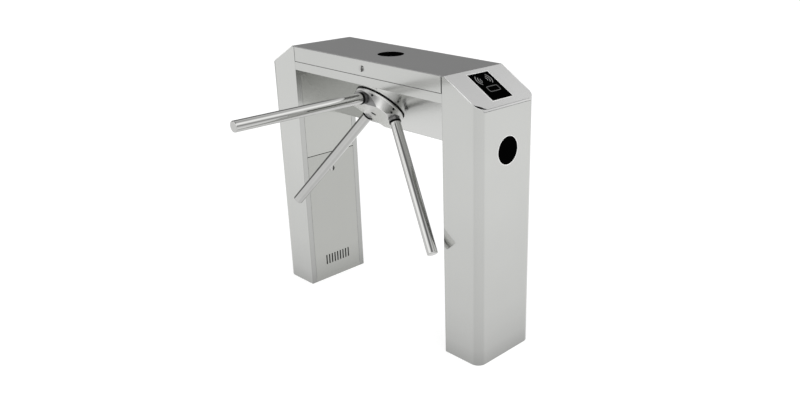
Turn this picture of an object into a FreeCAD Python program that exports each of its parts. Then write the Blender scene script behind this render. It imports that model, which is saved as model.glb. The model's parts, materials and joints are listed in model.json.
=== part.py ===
import FreeCAD, Part
import math
import os
import types
import Sketcher

Vector = FreeCAD.Vector

# Driving sizes of the turnstile, in millimetres and degrees
SIZES = {
    # cabinet
    "length": 1112,
    "depth": 276,
    "height": 1000,
    "column_width": 162,
    "column_corner": 33,
    "sheet": 1.5,
    "lip_width": 22,
    "chamfer_run": 152,
    "chamfer_drop": 88,
    "cap_thickness": 2,
    "cap_lip": 8,
    "cap_seam": 1,
    # gaps and fits
    "seam": 0.8,
    "seat_gap": 0.1,
    "running_fit": 0.05,
    "clearance": 0.3,
    # base plates
    "base_thickness": 6,
    "plinth_height": 20,
    "anchor_hole": 14,
    "anchor_pitch_x": 90,
    "anchor_pitch_y": 170,
    "cable_hole": 60,
    # reader on the sloped cap
    "window_start": 20,
    "window_length": 128,
    "window_width": 97,
    "window_thickness": 3,
    "reader_inset": 8,
    "reader_depth": 14,
    # round lights
    "end_lens_diameter": 95,
    "end_lens_drop": 243,
    "top_lens_diameter": 95,
    "lens_thickness": 4,
    "lens_rim": 6,
    "light_depth": 8,
    "light_inset": 5,
    # inner faces of the columns
    "access_top": 552,
    "access_depth": 12,
    "vent_count": 9,
    "vent_pitch": 14.25,
    "vent_width": 6,
    "vent_height": 42,
    "vent_bottom": 64,
    "panel_return": 9,
    "wire_hole": 50,
    "wire_hole_y": 60,
    "wire_hole_drop": 150,
    # cam locks
    "lock_radius": 9,
    "lock_head_radius": 11,
    "lock_head": 3,
    "lock_length": 18,
    "key_slot_width": 2,
    "key_slot_length": 10,
    "key_slot_depth": 1.5,
    "cam_width": 12,
    "cam_thickness": 2.5,
    "panel_lock_drop": 71,
    "panel_cam_length": 40,
    "keeper_reach": 47,
    "keeper_width": 60,
    "lid_lock_rise": 25.5,
    "lid_cam_length": 23,
    "lid_keeper_offset": 14,
    "lid_keeper_width": 22,
    # bridge between the columns
    "strip_height": 32.5,
    "lid_depth": 57.5,
    "lid_seam": 1.5,
    "slant_run": 210,
    "top_return": 28,
    "bottom_return": 18,
    # lid
    "lid_side_gap": 2,
    "top_plate": 3,
    "hinge_length": 600,
    "hinge_knuckles": 5,
    "knuckle_radius": 4,
    "hinge_pin_radius": 2,
    "leaf_thickness": 2,
    "leaf_height": 26,
    # tripod head
    "axis_tilt": 45,
    "hub_along_slant": 111.4,
    "arm_meet_depth": 47,
    "arm_diameter": 38,
    "arm_wall": 2,
    "arm_flat": 112,
    "arm_start": 117.5,
    "arm_end": 622,
    "arm_insert": 15,
    "arm_collar": 20.9,
    "arm_spigot": 40,
    "arm_cap": 5,
    "arm_cap_round": 3,
    "arm_plug": 16,
    "seal_overhang": 0.5,
    "seal_height": 2.5,
    "hub_gap": 4,
    "hub_disc_radius": 97,
    "hub_disc_thickness": 7,
    "hub_disc_chamfer": 1.5,
    "hub_height": 36,
    "hub_radius": 96,
    "hub_edge": 1,
    "hub_floor": 16,
    "hub_screw_pair_angle": 22,
    "hub_screw_single_angle": 33,
    "hub_screw_radius": 4.2,
    "hub_screw_seat": 5,
    "hub_screw_sink": 3,
    "hub_screw_head": 2.5,
    "hub_screw_key": 2.2,
    "hub_screw_key_depth": 1.5,
    "hub_screw_low": 5.5,
    "hub_screw_pitch": 14,
    "hub_bolt_radius": 6,
    "hub_bolt_head_radius": 10,
    "hub_bolt_seat": 10.6,
    "hub_bolt_head": 6,
    "hub_bolt_sink": 6.5,
    "shield_radius": 88,
    "shield_thickness": 2,
    "panel_hole_radius": 30,
    # shaft line inside the bridge
    "shaft_radius": 12.5,
    "shaft_end_radius": 8,
    "shaft_end_length": 20,
    "plate_setback": 23,
    "plate_thickness": 8,
    "plate_half_width": 150,
    "plate_half_height": 76,
    "standoff_radius": 6,
    "standoff_u": 128,
    "standoff_v": 62,
    "housing_radius": 32,
    "housing_length": 60,
    "housing_front": 17,
    "housing_flange_radius": 52,
    "housing_flange": 10,
    "bearing_radius": 26,
    "bearing_width": 15,
    "bearing_lip": 1,
    "housing_bore_radius": 22,
    "index_radius": 60,
    "index_thickness": 8,
    "index_behind": 12,
    "index_notches": 12,
    "notch_depth": 12,
    "notch_width": 16,
    "encoder_radius": 45,
    "encoder_thickness": 2,
    "encoder_behind": 8,
    "damper_radius": 35,
    "damper_length": 22,
    "damper_behind": 8,
    "bracket_thickness": 3,
    "bracket_half_width": 55,
    "bracket_low": 72,
    "bracket_high": 36,
    "bracket_post_radius": 4,
    "bracket_post_u": 45,
    "bracket_post_v": 62,
    # position sensor
    "sensor_half_width": 25,
    "sensor_height": 66,
    "sensor_depth": 20,
    "sensor_post_radius": 3,
    "sensor_post_u": 20,
    "fork_half_width": 6,
    "fork_depth": 12,
    "fork_overlap": 7,
    "fork_slot": 5,
    "board_thickness": 1.6,
    # locking pawls and their solenoids
    "pawl_u": 78,
    "pawl_v": 55,
    "pawl_pin_radius": 5,
    "pawl_boss": 11,
    "pawl_half_width": 4,
    "pawl_thickness": 7,
    "pawl_tail": 12,
    "pawl_free_gap": 3,
    "nose_high": 3,
    "nose_low": 6,
    "push_v": 25,
    "solenoid_start": 88,
    "solenoid_length": 52,
    "solenoid_half": 17,
    "solenoid_leg": 3,
    "solenoid_leg_half": 15,
    "armature_radius": 6,
    "armature_start": 6,
    "push_rod_radius": 4,
    "push_rod_round": 3.5,
    "spring_room": 13.8,
    "tail_radius": 10,
    "tail_thickness": 3,
    # electronics in the columns
    "board_height": 170,
    "board_width": 110,
    "board_bottom": 250,
    "board_standoff": 10,
    "board_post_radius": 4,
    "board_post_inset": 8,
    "relay_height": 22,
    "relay_width": 70,
    "relay_length": 40,
    "supply_height": 200,
    "supply_width": 110,
    "supply_depth": 40,
    "supply_bottom": 250,
}


class Dim:
    # A size that knows its value and the expression that ties it to the sheet
    def __init__(self, value, text):
        self.value = value
        self.text = text

    def __add__(self, other):
        other = as_dim(other)
        return Dim(self.value + other.value, f"({self.text} + {other.text})")

    def __radd__(self, other):
        return as_dim(other) + self

    def __sub__(self, other):
        other = as_dim(other)
        return Dim(self.value - other.value, f"({self.text} - {other.text})")

    def __rsub__(self, other):
        return as_dim(other) - self

    def __mul__(self, other):
        other = as_dim(other)
        return Dim(self.value * other.value, f"({self.text} * {other.text})")

    def __rmul__(self, other):
        return as_dim(other) * self

    def __truediv__(self, other):
        other = as_dim(other)
        return Dim(self.value / other.value, f"({self.text} / {other.text})")

    def __neg__(self):
        return Dim(-self.value, f"(-{self.text})")


def as_dim(number):
    if isinstance(number, Dim):
        return number
    return Dim(float(number), f"({float(number)!r})")


def sine(angle):
    return Dim(math.sin(math.radians(angle.value)), f"sin({angle.text})")


def cosine(angle):
    return Dim(math.cos(math.radians(angle.value)), f"cos({angle.text})")


doc = FreeCAD.newDocument("tripod_turnstile")
sheet = doc.addObject("Spreadsheet::Sheet", "Dims")
for row, (alias, number) in enumerate(SIZES.items(), start=1):
    sheet.set(f"A{row}", alias)
    sheet.set(f"B{row}", str(number))
    sheet.setAlias(f"B{row}", alias)
doc.recompute()
d = types.SimpleNamespace(**{alias: Dim(float(number), f"Dims.{alias}") for alias, number in SIZES.items()})

pieces = {}


def piece(name, solid):
    solid.Label = name
    pieces[name] = solid
    return solid


def bind(target, path, size):
    target.setExpression(path, as_dim(size).text)


def place(target, frame):
    # Put an object into a frame: a corner point, and a turn about one axis or a fixed rotation
    point, turn = frame
    if isinstance(turn, FreeCAD.Rotation):
        target.Placement = FreeCAD.Placement(Vector(), turn)
    else:
        axis, angle = turn
        target.Placement = FreeCAD.Placement(Vector(), FreeCAD.Rotation(axis, as_dim(angle).value))
        bind(target, "Placement.Rotation.Angle", angle)
    for letter, coordinate in zip("xyz", point):
        bind(target, f"Placement.Base.{letter}", coordinate)
    return target


# Sketch helpers

def pin(sketch, geometry, vertex, x, y):
    for kind, coordinate in (("DistanceX", x), ("DistanceY", y)):
        number = sketch.addConstraint(
            Sketcher.Constraint(kind, -1, 1, geometry, vertex, coordinate.value))
        sketch.setExpression(f"Constraints[{number}]", coordinate.text)


def fix_radius(sketch, geometry, radius):
    number = sketch.addConstraint(Sketcher.Constraint("Radius", geometry, radius.value))
    sketch.setExpression(f"Constraints[{number}]", radius.text)


def sign(number):
    return (number > 1e-9) - (number < -1e-9)


def outline(sketch, corners):
    # Closed outline, anticlockwise; a corner with a third entry is square and rounded by that radius
    corners = [[as_dim(entry) for entry in corner] for corner in corners]
    points = []
    for index, corner in enumerate(corners):
        if len(corner) == 2:
            points.append((corner[0], corner[1], None, None))
            continue
        x, y, radius = corner
        steps = []
        for neighbour in (corners[index - 1], corners[(index + 1) % len(corners)]):
            steps.append((sign(neighbour[0].value - x.value), sign(neighbour[1].value - y.value)))
        middle_x = x.value + radius.value * (1 - math.sqrt(0.5)) * (steps[0][0] + steps[1][0])
        middle_y = y.value + radius.value * (1 - math.sqrt(0.5)) * (steps[0][1] + steps[1][1])
        middle = Vector(middle_x, middle_y, 0)
        points.append((x + radius * steps[0][0], y + radius * steps[0][1], radius, middle))
        points.append((x + radius * steps[1][0], y + radius * steps[1][1], None, None))
    first = sketch.GeometryCount
    for index, (x, y, radius, middle) in enumerate(points):
        ahead = points[(index + 1) % len(points)]
        start = Vector(x.value, y.value, 0)
        end = Vector(ahead[0].value, ahead[1].value, 0)
        if radius is None:
            sketch.addGeometry(Part.LineSegment(start, end), False)
        else:
            sketch.addGeometry(Part.Arc(start, middle, end), False)
    for index, (x, y, radius, middle) in enumerate(points):
        ahead = (index + 1) % len(points)
        sketch.addConstraint(Sketcher.Constraint("Coincident", first + index, 2, first + ahead, 1))
        pin(sketch, first + index, 1, x, y)
        if radius is not None:
            fix_radius(sketch, first + index, radius)


def circle(sketch, x, y, radius):
    x, y, radius = as_dim(x), as_dim(y), as_dim(radius)
    ring = Part.Circle(Vector(x.value, y.value, 0), Vector(0, 0, 1), radius.value)
    geometry = sketch.addGeometry(ring, False)
    pin(sketch, geometry, 3, x, y)
    fix_radius(sketch, geometry, radius)


def rectangle(low_x, low_y, high_x, high_y):
    return [(low_x, low_y), (high_x, low_y), (high_x, high_y), (low_x, high_y)]


# Solid helpers

PLANES = {
    "XY": FreeCAD.Rotation(),
    "XZ": FreeCAD.Rotation(Vector(1, 0, 0), 90),
    "YZ": FreeCAD.Rotation(Vector(1, 1, 1), 120),
}


def prism(name, plane, corners, span):
    # An outline drawn on a plane through the origin and carried along the plane's normal
    sketch = doc.addObject("Sketcher::SketchObject", name + "_outline")
    sketch.Placement = FreeCAD.Placement(Vector(), PLANES[plane])
    outline(sketch, corners)
    solid = doc.addObject("Part::Extrusion", name)
    solid.Base = sketch
    solid.DirMode = "Normal"
    solid.Solid = True
    bind(solid, "LengthFwd", span[1])
    bind(solid, "LengthRev", -as_dim(span[0]))
    return solid


def box(name, x, y, z):
    solid = doc.addObject("Part::Box", name)
    for length, letter, (low, high) in (("Length", "x", x), ("Width", "y", y), ("Height", "z", z)):
        bind(solid, length, as_dim(high) - low)
        bind(solid, f"Placement.Base.{letter}", low)
    return solid


TURNS = {
    "x": (Vector(0, 1, 0), 90),
    "y": (Vector(-1, 0, 0), 90),
    "z": (Vector(0, 0, 1), 0),
}


def cylinder(name, axis, start, length, radius):
    solid = doc.addObject("Part::Cylinder", name)
    bind(solid, "Radius", radius)
    bind(solid, "Height", length)
    turn_axis, angle = TURNS[axis]
    return place(solid, (start, FreeCAD.Rotation(turn_axis, angle)))


def fuse(name, solids):
    solid = doc.addObject("Part::MultiFuse", name)
    solid.Shapes = solids
    return solid


def cut(name, base, tools):
    for number, tool in enumerate(tools, start=1):
        solid = doc.addObject("Part::Cut", f"{name}_cut_{number}")
        solid.Base = base
        solid.Tool = tool
        base = solid
    return base


def common(name, first, second):
    solid = doc.addObject("Part::Common", name)
    solid.Base = first
    solid.Tool = second
    return solid


def mirror(name, source):
    solid = doc.addObject("Part::Mirroring", name)
    solid.Source = source
    solid.Normal = Vector(1, 0, 0)
    return solid


def both_sides(name, right_solid):
    piece("right_" + name, right_solid)
    piece("left_" + name, mirror("left_" + name, right_solid))


# Feature-built body helpers

def new_body(name, frame):
    body = doc.addObject("PartDesign::Body", name)
    return place(body, frame)


def origin_feature(body, role):
    return next(feature for feature in body.Origin.OriginFeatures if feature.Role == role)


def new_sketch(body, name, role, offset=0):
    sketch = body.newObject("Sketcher::SketchObject", f"{body.Name}_{name}")
    sketch.AttachmentSupport = [(origin_feature(body, role), "")]
    sketch.MapMode = "FlatFace"
    bind(sketch, "AttachmentOffset.Base.z", offset)
    return sketch


def pad(body, sketch, length):
    feature = body.newObject("PartDesign::Pad", sketch.Name + "_pad")
    feature.Profile = sketch
    bind(feature, "Length", length)
    return feature


def pocket(body, sketch, length, side="One side", backwards=False):
    feature = body.newObject("PartDesign::Pocket", sketch.Name + "_pocket")
    feature.Profile = sketch
    feature.SideType = side
    feature.Reversed = backwards
    bind(feature, "Length", length)
    return feature


def around(body, features, count):
    pattern = body.newObject("PartDesign::PolarPattern", features[0].Name + "_ring")
    pattern.Originals = features
    pattern.Axis = (origin_feature(body, "Z_Axis"), [""])
    pattern.Angle = 360
    bind(pattern, "Occurrences", count)
    body.Tip = pattern
    return pattern


def turned(name, frame, corners):
    # A round piece: its half section as radius and distance along the axis of its frame
    body = new_body(name, frame)
    sketch = new_sketch(body, "section", "XZ_Plane")
    outline(sketch, corners)
    feature = body.newObject("PartDesign::Revolution", name + "_turn")
    feature.Profile = sketch
    feature.ReferenceAxis = (sketch, ["V_Axis"])
    feature.Angle = 360
    return body


# Main planes of the cabinet
right = d.length / 2
inner = right - d.column_width
front = -d.depth / 2
back = d.depth / 2
slope_length = Dim(math.hypot(d.chamfer_run.value, d.chamfer_drop.value),
                   f"hypot({d.chamfer_run.text}; {d.chamfer_drop.text})")
slope_cos = d.chamfer_run / slope_length
slope_sin = d.chamfer_drop / slope_length
slope_angle = Dim(math.degrees(math.atan2(d.chamfer_drop.value, d.chamfer_run.value)),
                  f"atan2({d.chamfer_drop.text}; {d.chamfer_run.text})")
break_x = right - d.chamfer_run
lid_top = d.height - d.top_plate
column_top = lid_top - d.clearance
lid_bottom = d.height - d.lid_depth
strip_bottom = lid_bottom - d.strip_height
lid_lock_z = lid_bottom + d.lid_lock_rise
panel_lock_z = d.access_top - d.panel_lock_drop
end_lens_z = d.height - d.end_lens_drop
wire_hole_z = d.height - d.wire_hole_drop
opening_half = d.depth / 2 - d.lip_width
panel_half = opening_half - d.seam

# Frame of the tripod head: on the slanted face, its own Z along the shaft and out of the cabinet
tilt_sin = sine(d.axis_tilt)
tilt_cos = cosine(d.axis_tilt)
slant_end_y = front + d.slant_run
slant_end_z = strip_bottom - d.slant_run * tilt_sin / tilt_cos
seat_y = front + d.hub_along_slant * tilt_cos
seat_z = strip_bottom - d.hub_along_slant * tilt_sin
tilt_turn = (Vector(1, 0, 0), 180 - d.axis_tilt)
head_frame = ((0, seat_y, seat_z), tilt_turn)


def head_point(across, up, out):
    return (across, seat_y - up * tilt_cos - out * tilt_sin, seat_z + up * tilt_sin - out * tilt_cos)


# Columns: a rounded sheet shell, open towards the passage between two lips
def column_outline(inset, corner):
    return [
        (inner + inset, front + inset),
        (right - inset, front + inset, corner),
        (right - inset, back - inset, corner),
        (inner + inset, back - inset),
    ]


def build_column():
    envelope = prism("column_envelope", "XY", column_outline(0, d.column_corner), (0, d.height))
    inside = prism("column_inside", "XY",
                   column_outline(d.sheet, d.column_corner - d.sheet), (-1, d.height + 1))
    opening = box("column_opening", (inner - 1, inner + d.sheet + 1),
                  (-opening_half, opening_half), (-1, d.height + 1))
    rise = d.cap_thickness / slope_cos
    cap_inner_x = right - d.cap_thickness
    cap_inner_z = d.height - d.chamfer_drop + d.cap_thickness * slope_sin / slope_cos - rise
    cap_end = d.height - d.chamfer_drop - d.cap_lip
    under_cap = [(break_x, d.height - rise), (cap_inner_x, cap_inner_z)]
    wall_top = cap_end - d.cap_seam
    above = prism("column_above", "XZ", [
        (inner - 1, column_top), (break_x, column_top), *under_cap, (cap_inner_x, wall_top),
        (right + 1, wall_top), (right + 1, d.height + 1), (inner - 1, d.height + 1),
    ], (-d.depth, d.depth))
    lens_hole = cylinder("end_lens_hole", "x", (right - d.column_corner, 0, end_lens_z),
                         d.column_corner * 2, d.end_lens_diameter / 2 + d.seat_gap)
    both_sides("column_shell", cut("column_shell", envelope, [inside, opening, above, lens_hole]))
    slab = prism("cap_slab", "XZ", [
        *under_cap, (cap_inner_x, cap_end), (right, cap_end), (right, d.height - d.chamfer_drop),
        (break_x, d.height),
    ], (-d.depth, d.depth))
    window_hole = slope_box("window_hole", window_span(-d.seat_gap), reader_half(-d.seat_gap),
                            (-d.window_thickness * 2, d.window_thickness))
    both_sides("end_cap", cut("end_cap", common("cap_plate", slab, envelope), [window_hole]))


# Reader window and module, set square to the sloped cap
def window_span(inset):
    return (d.window_start + inset, d.window_start + d.window_length - inset)


def reader_half(inset):
    return (-d.window_width / 2 + inset, d.window_width / 2 - inset)


def slope_box(name, along, across, normal):
    solid = doc.addObject("Part::Box", name)
    for length, (low, high) in (("Length", along), ("Width", across), ("Height", normal)):
        bind(solid, length, as_dim(high) - low)
    corner = (break_x + along[0] * slope_cos + normal[0] * slope_sin, across[0],
              d.height - along[0] * slope_sin + normal[0] * slope_cos)
    return place(solid, (corner, (Vector(0, 1, 0), slope_angle)))


def build_readers():
    window = slope_box("window", window_span(0), reader_half(0), (-d.window_thickness, 0))
    both_sides("reader_window", window)
    module = slope_box("reader", window_span(d.reader_inset), reader_half(d.reader_inset),
                       (-d.window_thickness - d.reader_depth, -d.window_thickness))
    piece("reader_modules", fuse("reader_modules", [module, mirror("left_reader", module)]))


# Round lights: a lens with a rim behind its wall, and a light module behind the lens
def lens_section(radius, wall):
    rim_back = -wall - d.lens_thickness
    return [(0, rim_back), (radius + d.lens_rim, rim_back), (radius + d.lens_rim, -wall),
            (radius, -wall), (radius, 0), (0, 0)]


def light_section(radius, wall):
    lens_back = -wall - d.lens_thickness
    light_radius = radius - d.light_inset
    return [(0, lens_back - d.light_depth), (light_radius, lens_back - d.light_depth),
            (light_radius, lens_back), (0, lens_back)]


def build_lights():
    end_frame = ((right, 0, end_lens_z), (Vector(0, 1, 0), 90))
    end_radius = d.end_lens_diameter / 2
    both_sides("end_lens", turned("end_lens", end_frame, lens_section(end_radius, d.sheet)))
    light = turned("end_light", end_frame, light_section(end_radius, d.sheet))
    piece("end_light_modules", fuse("end_light_modules", [light, mirror("left_light", light)]))
    top_frame = ((0, 0, d.height), (Vector(0, 0, 1), 0))
    top_radius = d.top_lens_diameter / 2
    top_wall = d.top_plate + d.sheet
    piece("top_lens", turned("top_lens", top_frame, lens_section(top_radius, top_wall)))
    piece("top_light_module", turned("top_light", top_frame, light_section(top_radius, top_wall)))


# Base plates with anchor holes, a cable entry and a plinth under the access panel
def build_base():
    inset = d.sheet + d.seat_gap
    floor = prism("base_floor", "XY", column_outline(inset, d.column_corner - inset),
                  (0, d.base_thickness))
    half = opening_half - d.seat_gap
    tongue = box("base_tongue", (inner, inner + d.sheet + d.base_thickness), (-half, half),
                 (0, d.base_thickness))
    plinth = box("base_plinth", (inner, inner + d.sheet), (-half, half), (0, d.plinth_height))
    middle = right - d.column_width / 2
    holes = [cylinder("cable_entry", "z", (middle, 0, -1), d.base_thickness + 2, d.cable_hole / 2)]
    for side_x in (-0.5, 0.5):
        for side_y in (-0.5, 0.5):
            start = (middle + d.anchor_pitch_x * side_x, d.anchor_pitch_y * side_y, -1)
            holes.append(cylinder("anchor_hole", "z", start, d.base_thickness + 2, d.anchor_hole / 2))
    both_sides("base_plate", cut("base_plate", fuse("base_sheet", [floor, tongue, plinth]), holes))


# Inner faces: a lift-off access panel with vents below, a fixed panel with the lock keeper above
def build_access_panel():
    body = new_body("access_panel", ((0, 0, 0), (Vector(0, 0, 1), 0)))
    panel_top = d.access_top - d.seam / 2
    face = new_sketch(body, "face", "YZ_Plane", inner)
    outline(face, rectangle(-panel_half, d.plinth_height, panel_half, panel_top))
    pad(body, face, d.access_depth)
    tray = new_sketch(body, "tray", "YZ_Plane", inner + d.sheet)
    outline(tray, rectangle(-panel_half + d.sheet, d.plinth_height + d.sheet,
                            panel_half - d.sheet, panel_top - d.sheet))
    pocket(body, tray, d.access_depth, backwards=True)
    lock_hole = new_sketch(body, "lock_hole", "YZ_Plane", inner)
    circle(lock_hole, 0, panel_lock_z, d.lock_radius + d.running_fit)
    pocket(body, lock_hole, d.sheet, backwards=True)
    vent = new_sketch(body, "vent", "YZ_Plane", inner)
    first_vent = -d.vent_pitch * (d.vent_count - 1) / 2
    outline(vent, rectangle(first_vent - d.vent_width / 2, d.vent_bottom,
                            first_vent + d.vent_width / 2, d.vent_bottom + d.vent_height))
    slot = pocket(body, vent, d.sheet, backwards=True)
    row = body.newObject("PartDesign::LinearPattern", "vent_row")
    row.Originals = [slot]
    row.Direction = (vent, ["H_Axis"])
    bind(row, "Length", d.vent_pitch * (d.vent_count - 1))
    bind(row, "Occurrences", d.vent_count)
    body.Tip = row
    both_sides("access_panel", body)


def build_upper_panel():
    bottom = d.access_top + d.seam / 2
    face = box("upper_face", (inner, inner + d.sheet), (-panel_half, panel_half), (bottom, column_top))
    parts = [face]
    for side in (-1, 1):
        edges = sorted((panel_half * side, (panel_half - d.sheet) * side), key=lambda edge: edge.value)
        parts.append(box("upper_return", (inner, inner + d.panel_return), edges, (bottom, column_top)))
    keeper_x = inner + d.access_depth + d.cam_thickness / 2
    half = d.keeper_width / 2
    parts.append(box("keeper_shelf", (inner, keeper_x + d.sheet), (-half, half),
                     (bottom, bottom + d.sheet)))
    parts.append(box("keeper_tab", (keeper_x, keeper_x + d.sheet), (-half, half),
                     (bottom - d.keeper_reach, bottom + d.sheet)))
    wire_hole = cylinder("wire_hole", "x", (inner - 1, d.wire_hole_y, wire_hole_z),
                         d.sheet + 2, d.wire_hole / 2)
    both_sides("upper_panel", cut("upper_panel", fuse("upper_sheet", parts), [wire_hole]))


# Cam locks: a headed barrel with a key slot, and a flat cam on its inner end
def build_panel_lock():
    face = inner - d.clearance
    height = panel_lock_z
    cam_end = inner + d.lock_length
    half = d.cam_width / 2
    slot_half = d.key_slot_length / 2
    barrel = cylinder("panel_barrel", "x", (face, 0, height), d.lock_length + d.clearance, d.lock_radius)
    head = cylinder("panel_head", "x", (face - d.lock_head, 0, height), d.lock_head, d.lock_head_radius)
    cam = box("panel_cam", (cam_end - d.cam_thickness, cam_end), (-half, half),
              (height, height + d.panel_cam_length))
    slot = box("panel_key_slot", (face - d.lock_head - 1, face - d.lock_head + d.key_slot_depth),
               (-d.key_slot_width / 2, d.key_slot_width / 2), (height - slot_half, height + slot_half))
    both_sides("panel_lock", cut("panel_lock", fuse("panel_lock_body", [barrel, head, cam]), [slot]))


def build_lid_lock():
    face = front - d.clearance
    height = lid_lock_z
    cam_end = front + d.lock_length
    half = d.cam_width / 2
    slot_half = d.key_slot_length / 2
    barrel = cylinder("lid_barrel", "y", (0, face, height), d.lock_length + d.clearance, d.lock_radius)
    head = cylinder("lid_head", "y", (0, face - d.lock_head, height), d.lock_head, d.lock_head_radius)
    cam = box("lid_cam", (-half, half), (cam_end - d.cam_thickness, cam_end),
              (height - d.lid_cam_length, height))
    slot = box("lid_key_slot", (-d.key_slot_width / 2, d.key_slot_width / 2),
               (face - d.lock_head - 1, face - d.lock_head + d.key_slot_depth),
               (height - slot_half, height + slot_half))
    piece("lid_lock", cut("lid_lock", fuse("lid_lock_body", [barrel, head, cam]), [slot]))


# Bridge: a bent front sheet with a strip and a slanted face, and an angle sheet behind and below
def build_bridge():
    top = lid_bottom - d.lid_seam
    end_y = slant_end_y + d.bottom_return
    bend_z = strip_bottom + d.sheet * (1 - tilt_sin) / tilt_cos
    foot_y = slant_end_y + d.sheet * (1 - tilt_cos) / tilt_sin
    bent = prism("front_sheet", "YZ", [
        (front + d.top_return, top), (front, top), (front, strip_bottom),
        (slant_end_y, slant_end_z), (end_y, slant_end_z), (end_y, slant_end_z + d.sheet),
        (foot_y, slant_end_z + d.sheet), (front + d.sheet, bend_z),
        (front + d.sheet, top - d.sheet), (front + d.top_return, top - d.sheet),
    ], (-inner, inner))
    half = d.cam_width / 2
    arm_low = lid_lock_z + half + d.sheet
    reach = d.lid_keeper_offset + d.lid_keeper_width
    depth = (front + d.lock_length - d.cam_thickness * 2, front + d.lock_length + d.cam_thickness)
    arm = box("keeper_arm", (d.lid_keeper_offset, reach), depth, (arm_low, arm_low + d.sheet))
    leg = box("keeper_leg", (reach - d.sheet, reach), depth, (top - d.sheet / 2, arm_low + d.sheet))
    hub_hole = doc.addObject("Part::Cylinder", "hub_hole")
    bind(hub_hole, "Radius", d.panel_hole_radius)
    bind(hub_hole, "Height", d.sheet * 4)
    place(hub_hole, (head_point(0, 0, -d.sheet * 2), tilt_turn))
    piece("bridge_front_panel", cut("bridge_front_panel", fuse("front_bent", [bent, arm, leg]), [hub_hole]))
    start_y = slant_end_y + d.seam
    back_top = lid_bottom - d.knuckle_radius - d.clearance
    piece("bridge_back_panel", prism("bridge_back_panel", "YZ", [
        (start_y, slant_end_z - d.sheet), (back, slant_end_z - d.sheet), (back, back_top),
        (back - d.sheet, back_top), (back - d.sheet, slant_end_z), (start_y, slant_end_z),
    ], (-inner, inner)))


# Lid: a folded tray with a dark top plate, hinged along the back
def build_lid():
    half = inner - d.lid_side_gap
    tray = box("lid_outer", (-half, half), (front, back), (lid_bottom, lid_top))
    inside = box("lid_inside", (-half + d.sheet, half - d.sheet), (front + d.sheet, back - d.sheet),
                 (lid_bottom - 1, lid_top - d.sheet))
    relief_top = lid_bottom + d.knuckle_radius + d.clearance
    relief = box("lid_relief", (-half - 1, half + 1), (back - d.sheet - d.leaf_thickness, back + 1),
                 (lid_bottom - 1, relief_top))
    lens_radius = d.top_lens_diameter / 2 + d.seat_gap
    lens_hole = cylinder("top_lens_hole", "z", (0, 0, lid_top - d.sheet * 2),
                         d.height - lid_top + d.sheet * 4, lens_radius)
    lock_hole = cylinder("lid_lock_hole", "y", (0, front - 1, lid_lock_z), d.sheet + 2,
                         d.lock_radius + d.running_fit)
    piece("lid_shell", cut("lid_shell", tray, [inside, relief, lens_hole, lock_hole]))
    plate_half = break_x - d.seam
    plate = box("top_plate_slab", (-plate_half, plate_half), (front, back), (lid_top, d.height))
    piece("lid_top_plate", cut("lid_top_plate", plate, [lens_hole]))


def build_lid_hinge():
    axis_z = lid_bottom
    knuckle = d.hinge_length / d.hinge_knuckles
    leaf_y = (back - d.sheet - d.leaf_thickness, back - d.sheet)
    margin = d.knuckle_radius + d.clearance
    leaves = {
        "lid_hinge_base": (0, (axis_z - d.leaf_height, axis_z - margin), (axis_z - margin, axis_z)),
        "lid_hinge_leaf": (1, (axis_z + margin, axis_z + d.leaf_height), (axis_z, axis_z + margin)),
    }
    for name, (first, leaf_z, tab_z) in leaves.items():
        parts = [box(name + "_plate", (-d.hinge_length / 2, d.hinge_length / 2), leaf_y, leaf_z)]
        for number in range(first, SIZES["hinge_knuckles"], 2):
            low = -d.hinge_length / 2 + knuckle * number + d.clearance / 2
            length = knuckle - d.clearance
            parts.append(cylinder(name + "_knuckle", "x", (low, back, axis_z), length, d.knuckle_radius))
            parts.append(box(name + "_tab", (low, low + length), leaf_y, tab_z))
        bore = cylinder(name + "_bore", "x", (-d.hinge_length, back, axis_z), d.hinge_length * 2,
                        d.hinge_pin_radius + d.running_fit)
        piece(name, cut(name, fuse(name + "_sheet", parts), [bore]))
    piece("lid_hinge_pin", cylinder("lid_hinge_pin", "x", (-d.hinge_length / 2, back, axis_z),
                                    d.hinge_length, d.hinge_pin_radius))


# Tripod head: disc, round hub with three flats, arms, end caps, seals and screws
hub_base = d.hub_gap + d.hub_disc_thickness
hub_top = hub_base + d.hub_height
shaft_top = hub_top - d.hub_floor
arm_radius = d.arm_diameter / 2
arm_sin = tilt_cos
arm_cos = tilt_sin


def arm_frame(number):
    # Z runs along the arm, from the point where the three arm lines meet
    lean = FreeCAD.Rotation(Vector(-1, 0, 0), 90 - d.axis_tilt.value)
    step = FreeCAD.Rotation(Vector(0, 0, 1), 120 * number)
    head = FreeCAD.Rotation(Vector(1, 0, 0), 180 - d.axis_tilt.value)
    return head_point(0, 0, -d.arm_meet_depth), head.multiply(step).multiply(lean)


def arm_sketch(body, name, distance):
    # A sketch square to the first arm, at a distance along it
    sketch = new_sketch(body, name, "XY_Plane", distance * arm_cos - d.arm_meet_depth)
    bind(sketch, "AttachmentOffset.Base.y", distance * arm_sin)
    sketch.AttachmentOffset.Rotation = FreeCAD.Rotation(Vector(-1, 0, 0), 90 - d.axis_tilt.value)
    bind(sketch, "AttachmentOffset.Rotation.Angle", 90 - d.axis_tilt)
    return sketch


# Hub screws: at each flat, a pair on one side and a single one on the other
screw_low = hub_base + d.hub_screw_low
SCREWS = {
    "pair": (-1, d.hub_screw_pair_angle, (screw_low, screw_low + d.hub_screw_pitch)),
    "single": (1, d.hub_screw_single_angle, (screw_low,)),
}


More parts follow.
